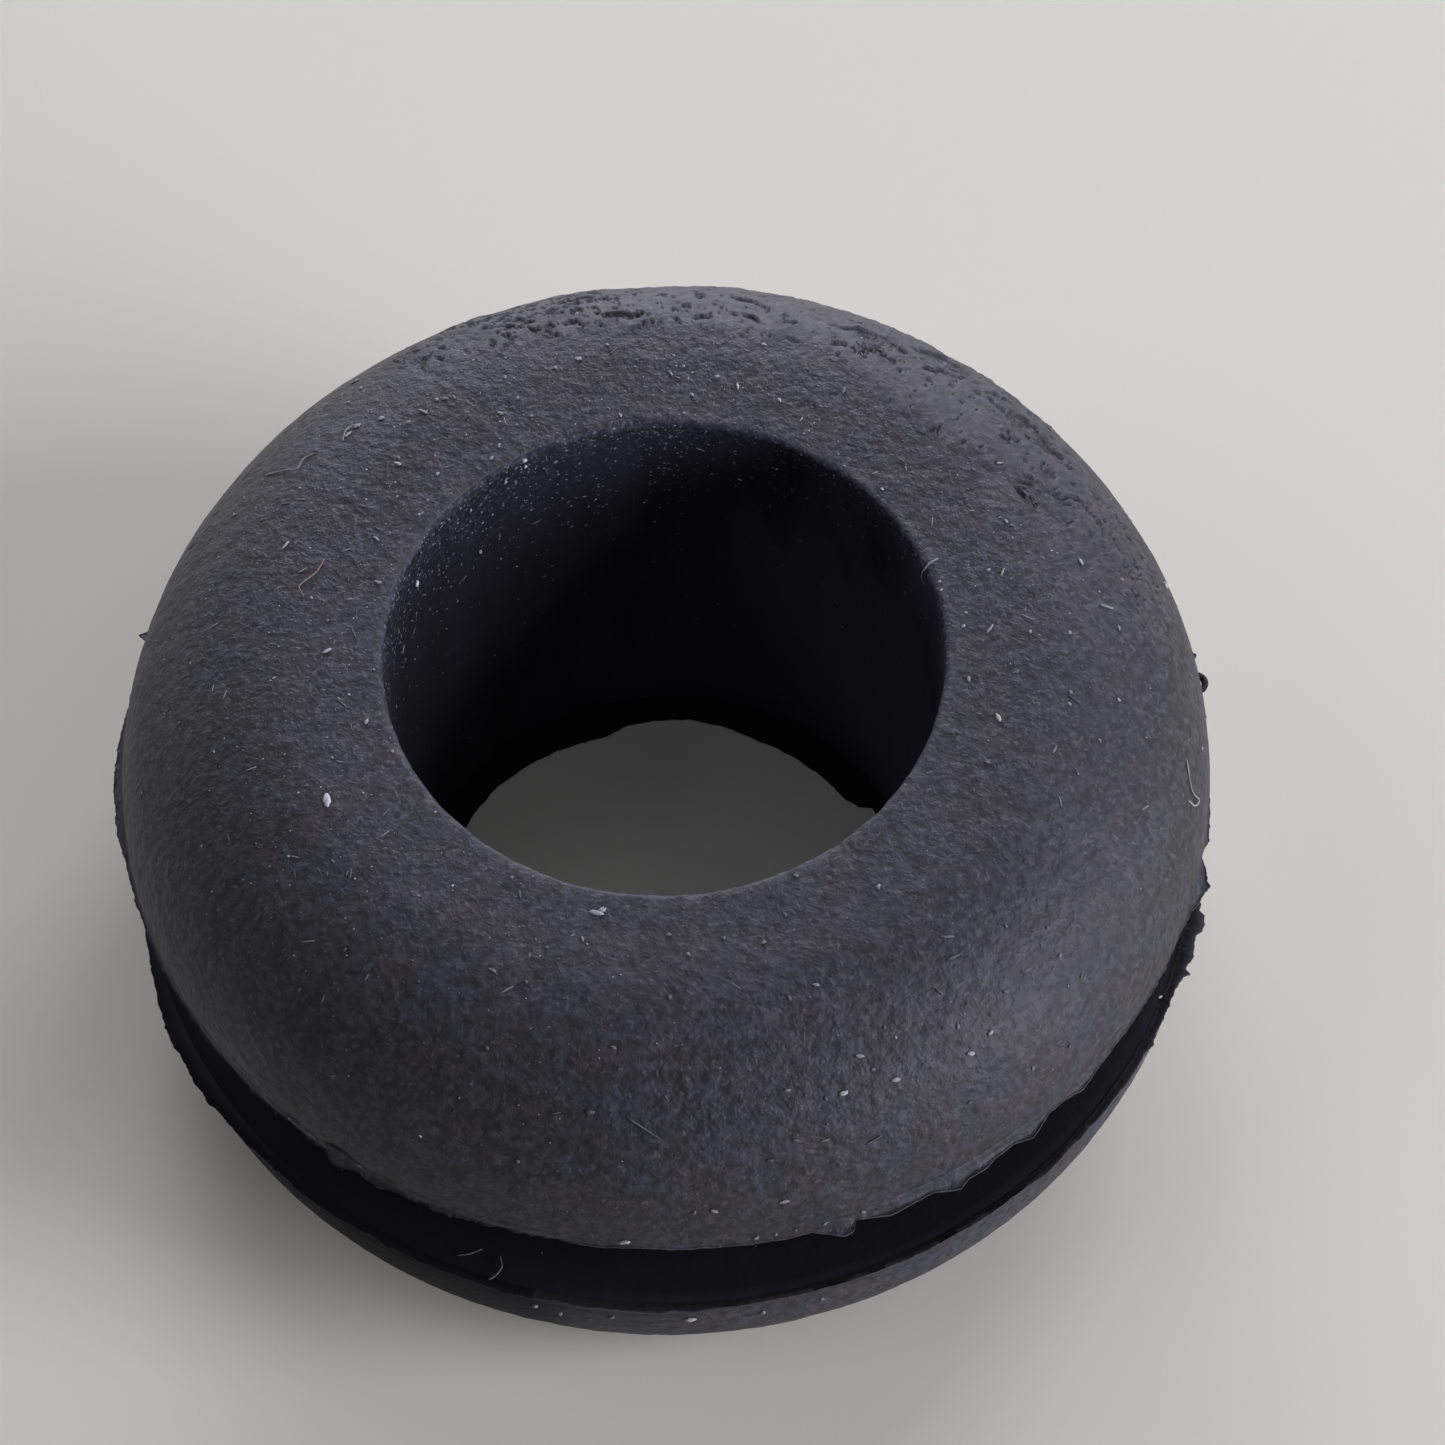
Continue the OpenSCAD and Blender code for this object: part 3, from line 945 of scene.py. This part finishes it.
# materials
# a node's inputs set, or linked to what other nodes give
def setInputs(tree, node, inputs):
    for key, value in inputs.items():
        if isinstance(value, bpy.types.NodeSocket):
            tree.links.new(value, node.inputs[key])
        else:
            node.inputs[key].default_value = value


def addNode(tree, kind, inputs=None, **settings):
    node = tree.nodes.new("ShaderNode" + kind)
    for key, value in settings.items():
        setattr(node, key, value)
    setInputs(tree, node, inputs or {})
    return node


def doMath(tree, operation, a, b=0.0, c=0.0, clamp=False):
    inputs = {0: a, 1: b, 2: c}
    return addNode(tree, "Math", inputs, operation=operation, use_clamp=clamp).outputs[0]


# the product of two values or more
def times(tree, *values):
    product = values[0]
    for value in values[1:]:
        product = doMath(tree, "MULTIPLY", product, value)
    return product


def timesPlus(tree, value, factor, more, clamp=False):
    return doMath(tree, "MULTIPLY_ADD", value, factor, more, clamp)


def doVector(tree, operation, a, b=(0, 0, 0), result=0):
    return addNode(tree, "VectorMath", {0: a, 1: b}, operation=operation).outputs[result]


# a number that the mesh holds for each point
def pointValue(tree, name):
    return addNode(tree, "Attribute", attribute_name=name).outputs["Fac"]


# a smooth step from 0 to 1 between two values, or the other way if they fall
def stepBetween(tree, value, start, end):
    inputs = {"Value": value, "From Min": start, "From Max": end, "To Min": 0.0, "To Max": 1.0}
    return addNode(tree, "MapRange", inputs, interpolation_type="SMOOTHSTEP").outputs[0]


def noiseAt(tree, place, scale, detail=2.0, roughness=0.5, shift=(0, 0, 0)):
    moved = doVector(tree, "ADD", place, shift)
    inputs = {"Vector": moved, "Scale": scale, "Detail": detail, "Roughness": roughness}
    return addNode(tree, "TexNoise", inputs).outputs[0]


# cells scattered at a scale: how far the middle of the nearest one is, and three chance numbers it has
def scatterCells(tree, place, scale):
    cells = addNode(tree, "TexVoronoi", {"Vector": place, "Scale": scale}, feature="F1")
    chances = addNode(tree, "SeparateColor", {0: cells.outputs["Color"]}).outputs
    return cells.outputs["Distance"], chances


def mixColours(tree, amount, first, second):
    return addNode(tree, "Mix", {0: amount, 6: first, 7: second}, data_type="RGBA").outputs[2]


def newMaterial(name):
    material = bpy.data.materials.new(name)
    material.use_nodes = True
    return material, material.node_tree, material.node_tree.nodes["Principled BSDF"]


# bumps one on another, each with its height in the given dictionary
def stackBumps(tree, heights, bumps):
    normal = None
    for name, height in bumps.items():
        inputs = {"Distance": heights[name], "Height": height}
        if normal:
            inputs["Normal"] = normal
        normal = addNode(tree, "Bump", inputs).outputs[0]
    return normal


def finishShader(tree, shader, colour, roughness, gloss, normal):
    inputs = {"Base Color": colour, "Roughness": roughness, "Specular IOR Level": gloss, "Normal": normal}
    setInputs(tree, shader, inputs)


# the dusty outside of the rubber
rubber = {
    "deep": (0.0050, 0.0048, 0.0062, 1),     # clean rubber between the marks
    "bluish": (0.041, 0.043, 0.057, 1),      # the same rubber under twice its usual dust film
    "brownish": (0.048, 0.043, 0.051, 1),
    "greyish": (0.052, 0.052, 0.053, 1),     # on the outer edge
    "edgePath": (16.0, 18.8),                # mm along the section where the outer edge starts and is full
    "edgeBearing": (-0.75, -0.1),            # and how far back it does, from -1 in front
    "edgeShare": 0.8,
    "roughness": (0.60, 0.70),
    "bareRougher": 0.34,                     # how much rougher the rubber is where it has no film
    "bareStep": (0.6, 0.0),                  # from how much film to how little
    "gloss": 0.40,
    # noises in the rubber: scale to the mm, detail, roughness, shift
    "noises": {
        "grain": (4.8, 2.0, 0.48, (0, 0, 0)),
        "lump": (3.0, 2.0, 0.60, (1, 7, 3)),
        "blotch": (1.9, 2.0, 0.60, (5, 5, 5)),
        "mottle": (0.42, 3.0, 0.55, (0, 0, 0)),
        "tint": (0.9, 3.0, 0.60, (9, 4, 2)),
        "dot": (6.5, 1.0, 0.50, (8, 2, 6)),
    },
    "ringScale": (5, 5, 5),      # how finely the marks that are drawn out round the ring lie along it
    # their noises: scale, detail, roughness
    "ripple": (2.6, 3.0, 0.55),
    "crack": (3.4, 3.0, 0.60),
    # where each marking starts to show in its noise, and where it is full
    "grainStep": (0.34, 0.68),
    "tintStep": (0.38, 0.62),
    "hairStep": (0.60, 0.80),
    "dotStep": (0.58, 0.72),
    "crackStep": (0.44, 0.36),
    # three lays of short hairs: their turn and shift
    "felt": [((0.3, 0.2, 0.4), (3, 1, 7)), ((-0.4, 0.1, 1.5), (11, 5, 2)), ((0.2, -0.5, 2.5), (6, 9, 4))],
    "hairStretch": (4.5, 11.5, 11.5),
    # dark pits and soft pale smudges: scale to the mm, edge and middle, share of them that show
    "pits": (3.0, (0.20, 0.10), (0.80, 0.90)),
    "smudges": (1.7, (0.22, 0.02), (0.55, 0.95)),
    # how much each noise changes the shade: factor, and what is left without it
    "mottleShade": (0.9, 0.45),
    "grainShade": (1.0, 0.45),
    "blotchShade": (0.35, 0.80),
    # and how much each kind of mark adds to it or takes from it
    "hairShade": 0.8,
    "dotShade": 1.1,
    "smudgeShade": 1.3,
    "fleckShade": 1.1,
    "pitShade": -0.5,
    # the cracks are painted dark, as the shadow inside them
    "crackShadow": -0.85,
    # patches of the crown: angle, spread, inner and outer radius
    "nearLeft": (255, 75, 6.6, 12.4),
    "farLeft": (150, 32, 9.4, 12.4),
    "nearRight": (302, 46, 8.2, 12.3),
    "fleckSlant": 40,
    "fleckStretch": (1.1, 3.6),
    "ringReach": 11.0,      # mm round the ring to the radian, for the flecks
    # how far each bump stands up
    "grain": 0.022 * mm,
    "hairs": 0.006 * mm,
    "blotches": 0.026 * mm,
    "lumps": 0.040 * mm,
    "wrinkles": 0.018 * mm,
    "flecks": 0.020 * mm,
    "peel": 0.060 * mm,
    "leftWrinkles": 0.2,    # how wrinkled the far left is, next to the peeled places
    "crusted": 4.0,         # how many times stronger the lumps are where the skin has peeled
    "crustGrain": 1.2,      # and how much stronger the grain
    "pebbledLumps": 0.8,    # the same on the near right
    "pebbledGrain": 0.35,
    "sheetCalm": -0.55,     # how much the grain is calmed on the old skin
    "coarse": 1.20,         # how strong the grain is on the sides
    "coarser": 0.35,        # and how much stronger at the back, weaker in front
}


# 1 inside a patch of the crown, fading out round it
def patch(tree, unit, radius, angle, spread, inner, outer):
    turn = radians(angle)
    bearing = doVector(tree, "DOT_PRODUCT", unit, (cos(turn), sin(turn), 0), "Value")
    edge, middle = cos(radians(spread)), cos(radians(spread * 0.45))
    sideways = stepBetween(tree, bearing, edge, middle)
    rise = stepBetween(tree, radius, inner, inner + 0.9)
    fall = stepBetween(tree, radius, outer + 0.5, outer - 0.2)
    return times(tree, sideways, rise, fall)


# short fine strokes that all lie one way: a noise turned, then stretched
def strokes(tree, place, stretch, turn, shift):
    turned = addNode(tree, "VectorRotate", {"Vector": place, "Rotation": turn},
                     rotation_type="EULER_XYZ").outputs[0]
    return noiseAt(tree, doVector(tree, "MULTIPLY", turned, stretch), 1.0, 1.0, 0.5, shift)


# place in mm, then the direction out from the bore and the radius
def readPlace(tree):
    coordinates = addNode(tree, "TexCoord").outputs["Object"]
    place = doVector(tree, "MULTIPLY", coordinates, (1 / mm, 1 / mm, 1 / mm))
    flat = doVector(tree, "MULTIPLY", place, (1, 1, 0))
    return place, doVector(tree, "NORMALIZE", flat), doVector(tree, "LENGTH", flat, result="Value")


# flecks across the near left side, all leaning down to the right
def leaningFlecks(tree, r, across, deep, path, nearLeft):
    turn = times(tree, doMath(tree, "ARCTAN2", across, times(tree, deep, -1.0)), r["ringReach"])
    slant = radians(r["fleckSlant"])
    down, level = sin(slant), cos(slant)
    along = doMath(tree, "ADD", times(tree, turn, level), times(tree, path, down))
    athwart = doMath(tree, "SUBTRACT", times(tree, path, level), times(tree, turn, down))
    long, wide = r["fleckStretch"]
    stretched = {"X": times(tree, along, long), "Y": times(tree, athwart, wide)}
    lean = noiseAt(tree, addNode(tree, "CombineXYZ", stretched).outputs[0], 1.0, 2.0, 0.5)
    return times(tree, doMath(tree, "SUBTRACT", lean, 0.5), nearLeft)


# a few of the cells scattered at a scale, each fading out from its middle
def fewCells(tree, place, scale, edge, share):
    distance, chances = scatterCells(tree, place, scale)
    return times(tree, stepBetween(tree, distance, *edge), stepBetween(tree, chances[0], *share))


def makeSkinRubber(r):
    material, tree, shader = newMaterial("skinRubber")
    place, unit, radius = readPlace(tree)
    path, filmAndLight = pointValue(tree, "sectionPath"), pointValue(tree, "dustFilmAndLight")
    crust, sheet = pointValue(tree, "peeling"), pointValue(tree, "sheet")
    across, deep = addNode(tree, "SeparateXYZ", {0: unit}).outputs[:2]
    # coordinates that stretch every mark round the ring
    lift = addNode(tree, "CombineXYZ", {"Z": path}).outputs[0]
    around = doVector(tree, "ADD", doVector(tree, "MULTIPLY", unit, r["ringScale"]), lift)

    grain, lump, blotch, mottle, tint, dot = [noiseAt(tree, place, *kind) for kind in r["noises"].values()]
    grains = stepBetween(tree, grain, *r["grainStep"])
    blotches = stepBetween(tree, blotch, *r["grainStep"])
    dots = stepBetween(tree, dot, *r["dotStep"])
    felt = strokes(tree, place, r["hairStretch"], *r["felt"][0])
    for lay in r["felt"][1:]:
        felt = doMath(tree, "MAXIMUM", felt, strokes(tree, place, r["hairStretch"], *lay))
    hairs = stepBetween(tree, felt, *r["hairStep"])
    # the skin is roughest at the back and smoothest in front
    coarse = timesPlus(tree, deep, r["coarser"], r["coarse"])
    flecks = leaningFlecks(tree, r, across, deep, path, patch(tree, unit, radius, *r["nearLeft"]))
    pitted = fewCells(tree, place, *r["pits"])
    smudged = fewCells(tree, place, *r["smudges"])

    # rough rubber where the old skin has peeled, and wrinkles on the far left
    ripple = noiseAt(tree, around, *r["ripple"])
    farLeft = patch(tree, unit, radius, *r["farLeft"])
    wrinkled = doMath(tree, "MAXIMUM", crust, times(tree, farLeft, r["leftWrinkles"]))
    cracks = times(tree, stepBetween(tree, noiseAt(tree, around, *r["crack"]), *r["crackStep"]), crust)

    # how much of the dust film's colour shows, from its slow change of shade to its single marks
    shade = times(tree, timesPlus(tree, mottle, *r["mottleShade"]), timesPlus(tree, grains, *r["grainShade"]),
                  timesPlus(tree, blotches, *r["blotchShade"]))
    marks = timesPlus(tree, hairs, r["hairShade"], times(tree, dots, r["dotShade"]))
    shade = timesPlus(tree, marks, coarse, shade)
    shade = doMath(tree, "ADD", shade, times(tree, smudged, r["smudgeShade"]))
    shade = doMath(tree, "ADD", shade, times(tree, flecks, r["fleckShade"]))
    # the cracks darken the colour, a painted shadow in them
    shade = times(tree, shade, timesPlus(tree, pitted, r["pitShade"], 1.0),
                  timesPlus(tree, cracks, r["crackShadow"], 1.0))
    filmed = mixColours(tree, stepBetween(tree, tint, *r["tintStep"]), r["bluish"], r["brownish"])
    edge = times(tree, stepBetween(tree, path, *r["edgePath"]), stepBetween(tree, deep, *r["edgeBearing"]),
                 r["edgeShare"])
    filmed = mixColours(tree, edge, filmed, r["greyish"])
    colour = mixColours(tree, times(tree, filmAndLight, shade, 0.5), r["deep"], filmed)
    low, high = r["roughness"]
    spread = {"Value": ripple, "From Min": 0.3, "From Max": 0.7, "To Min": low, "To Max": high}
    dull = addNode(tree, "MapRange", spread).outputs[0]
    bare = stepBetween(tree, filmAndLight, *r["bareStep"])
    dull = timesPlus(tree, bare, r["bareRougher"], dull, clamp=True)

    calm = times(tree, timesPlus(tree, sheet, r["sheetCalm"], 1.0), coarse)
    pebbled = patch(tree, unit, radius, *r["nearRight"])
    lumpy = timesPlus(tree, crust, r["crusted"], timesPlus(tree, pebbled, r["pebbledLumps"], 1.0))
    rough = timesPlus(tree, crust, r["crustGrain"], timesPlus(tree, pebbled, r["pebbledGrain"], 1.0))
    rough = times(tree, calm, rough)
    bumps = {
        "grain": times(tree, grain, rough),
        "blotches": times(tree, blotch, rough),
        "hairs": times(tree, doMath(tree, "ADD", hairs, dots), calm),
        "wrinkles": times(tree, ripple, timesPlus(tree, wrinkled, 1.0, 0.3)),
        "lumps": times(tree, lump, times(tree, lumpy, calm)),
        "flecks": flecks,
        "peel": times(tree, cracks, -1.0),
    }
    finishShader(tree, shader, colour, dull, r["gloss"], stackBumps(tree, r, bumps))
    return material


# the darker rubber of the bore and the groove, painted shade in these hollows, with fine pale dust specks
hollowShade = {
    "dark": (0.0034, 0.0034, 0.0050, 1),
    "light": (0.0340, 0.0330, 0.0500, 1),
    "speck": (0.24, 0.24, 0.29, 1),
    "gloss": 0.16,
    "roughness": 0.8,
    "grain": 0.014 * mm,
    "grainNoise": (6.0, 3.0, 0.65),
    "smearNoise": (0.9, 3.0, 0.6),
    "smearStretch": (1, 1, 0.3),    # the smears run down the wall
    "speckScale": 9.5,          # specks to the mm
    "bendScale": 9.0,
    "speckBend": 0.12,          # how far their places are bent out of line, in mm
    "speckFade": 2.5,           # how rare the palest specks are
    "speckEdge": (0.40, 0.14),
    "speckShare": 2.6,          # share of the specks that show, times the dusting
    "veil": 0.16,               # share of the speck colour between them
    "veilStep": (0.42, 0.70),
}


def makeHollowShadeRubber(r):
    material, tree, shader = newMaterial("hollowShadeRubber")
    place = readPlace(tree)[0]
    filmAndLight, dusting = pointValue(tree, "dustFilmAndLight"), pointValue(tree, "wallDust")
    grain = noiseAt(tree, place, *r["grainNoise"])
    smear = noiseAt(tree, doVector(tree, "MULTIPLY", place, r["smearStretch"]), *r["smearNoise"])
    # dark as painted shade, lifted by the film, which carries painted light down the bore
    colour = mixColours(tree, times(tree, filmAndLight, smear), r["dark"], r["light"])
    # fine specks, the more of them the thicker the dusting
    inputs = {"Vector": place, "Scale": r["bendScale"], "Detail": 1.0}
    bend = addNode(tree, "TexNoise", inputs).outputs["Color"]
    bend = doVector(tree, "MULTIPLY", bend, (r["speckBend"],) * 3)
    distance, chances = scatterCells(tree, doVector(tree, "ADD", place, bend), r["speckScale"])
    chosen = doMath(tree, "GREATER_THAN", times(tree, dusting, r["speckShare"]), chances[0])
    speckled = times(tree, stepBetween(tree, distance, *r["speckEdge"]), chosen,
                     doMath(tree, "POWER", chances[1], r["speckFade"]))
    veil = times(tree, dusting, times(tree, stepBetween(tree, grain, *r["veilStep"]), r["veil"]))
    colour = mixColours(tree, doMath(tree, "ADD", speckled, veil, clamp=True), colour, r["speck"])
    finishShader(tree, shader, colour, r["roughness"], r["gloss"], stackBumps(tree, r, {"grain": grain}))
    return material


# dust and lint: a little change of shade from grain to grain, pale first and dark second
powders = {
    "scale": 900.0,             # of the change of shade, to the metre
    "step": (0.35, 0.65),
    "graded": (0.3, 0.7),       # how much of it the dust has, and what is left without it
    "roughness": 0.85,
    "gloss": 0.5,
    "bumpScale": 25000.0,
    "bump": 0.01 * mm,
    "paleDust": ((0.55, 0.55, 0.56, 1), (0.030, 0.030, 0.033, 1)),
    "paleLint": ((0.34, 0.33, 0.34, 1), (0.18, 0.18, 0.18, 1)),
    "faintLint": ((0.12, 0.12, 0.13, 1), (0.06, 0.06, 0.06, 1)),
    "reddishLint": ((0.24, 0.16, 0.14, 1), (0.13, 0.09, 0.08, 1)),
}


def makePowder(name, graded=False):
    p = powders
    light, dark = p[name]
    material, tree, shader = newMaterial(name)
    coordinates = addNode(tree, "TexCoord").outputs["Object"]
    amount = stepBetween(tree, noiseAt(tree, coordinates, p["scale"]), *p["step"])
    if graded:
        amount = times(tree, timesPlus(tree, amount, *p["graded"]), pointValue(tree, "paleness"))
    colour = mixColours(tree, amount, dark, light)
    normal = stackBumps(tree, p, {"bump": noiseAt(tree, coordinates, p["bumpScale"])})
    finishShader(tree, shader, colour, p["roughness"], p["gloss"], normal)
    return material


# the table and the light
studio = {
    "table": ((0.62, 0.615, 0.535, 1), 0.9, 0.2),      # its colour, roughness and gloss
    "tableHalf": 1.5,
    "aim": (0.0013, 0.0, 0.006),
    "distance": 0.6,
    "panelWidth": 0.27,
    "panelPower": 10.0,            # W, times each panel's share
    "panelColour": (1.0, 0.99, 1.11),
    # round soft panels: height above the table and bearing in degrees, share of the power
    "panels": [
        (8, 90, 0.216), (8, 120, 0.031), (8, 150, 0.047), (8, 330, 0.281), (28, 60, 0.131),
        (28, 105, 0.075), (28, 345, 0.236), (48, 160, 0.012), (48, 200, 0.035), (68, 0, 0.005),
        (68, 90, 0.024), (68, 300, 0.02),
    ],
}


def layTable(s):
    half = s["tableHalf"]
    corners = [(-half, -half, 0), (half, -half, 0), (half, half, 0), (-half, half, 0)]
    material, tree, shader = newMaterial("paleTable")
    colour, roughness, gloss = s["table"]
    setInputs(tree, shader, {"Base Color": colour, "Roughness": roughness, "Specular IOR Level": gloss})
    table = addMesh("table", corners, [(0, 1, 2, 3)], material, smooth=False)


def lightStudio(s):
    world = bpy.data.worlds.new("studio")
    bpy.context.scene.world = world
    world.use_nodes = True
    background = world.node_tree.nodes["Background"]
    background.inputs["Strength"].default_value = 0.0
    for height, bearing, share in s["panels"]:
        rise, turn = radians(height), radians(bearing)
        toward = Vector((cos(rise) * cos(turn), cos(rise) * sin(turn), sin(rise)))
        light = bpy.data.lights.new("panel", "AREA")
        light.shape = "DISK"
        light.size = s["panelWidth"]
        light.energy = s["panelPower"] * share
        light.color = s["panelColour"]
        panel = bpy.data.objects.new("panel", light)
        panel.location = Vector(s["aim"]) + toward * s["distance"]
        panel.rotation_euler = toward.to_track_quat("Z", "Y").to_euler()
        panel.visible_camera = False
        bpy.context.scene.collection.objects.link(panel)
    bpy.context.scene.view_settings.view_transform = "Standard"


placeCamera(camera)
print("camera placed")
skinRubber = makeSkinRubber(rubber)
hollowShadeRubber = makeHollowShadeRubber(hollowShade)
grommetBody, skinGrid, skinOutward = mouldBody()
print("body moulded:", len(grommetBody.data.polygons) * 2, "triangles")
oldSkin = peelSkin(peeledSkin)
print("skin peeled:", len(oldSkin.data.polygons) * 2, "triangles")
tearFlash("upperFlash", upperFlash)
tearFlash("lowerFlash", lowerFlash)
tearBoreFlash(boreFlash)
print("flash torn")
dustSpecks = scatterDust(dust)
for name, thickness in (("paleLint", "usual"), ("faintLint", "thin"), ("reddishLint", "thin")):
    layLint(name, lint[thickness], makePowder(name))
tornLoop = layLint("tornLoop", lint["thick"], skinRubber)
addPointValues(tornLoop, "dustFilmAndLight", np.full(len(tornLoop.data.vertices), lint["loopFilm"]))
print("dust and lint laid:", len(dustSpecks.data.polygons), "triangles of dust")
layTable(studio)
lightStudio(studio)
print("table and light set")
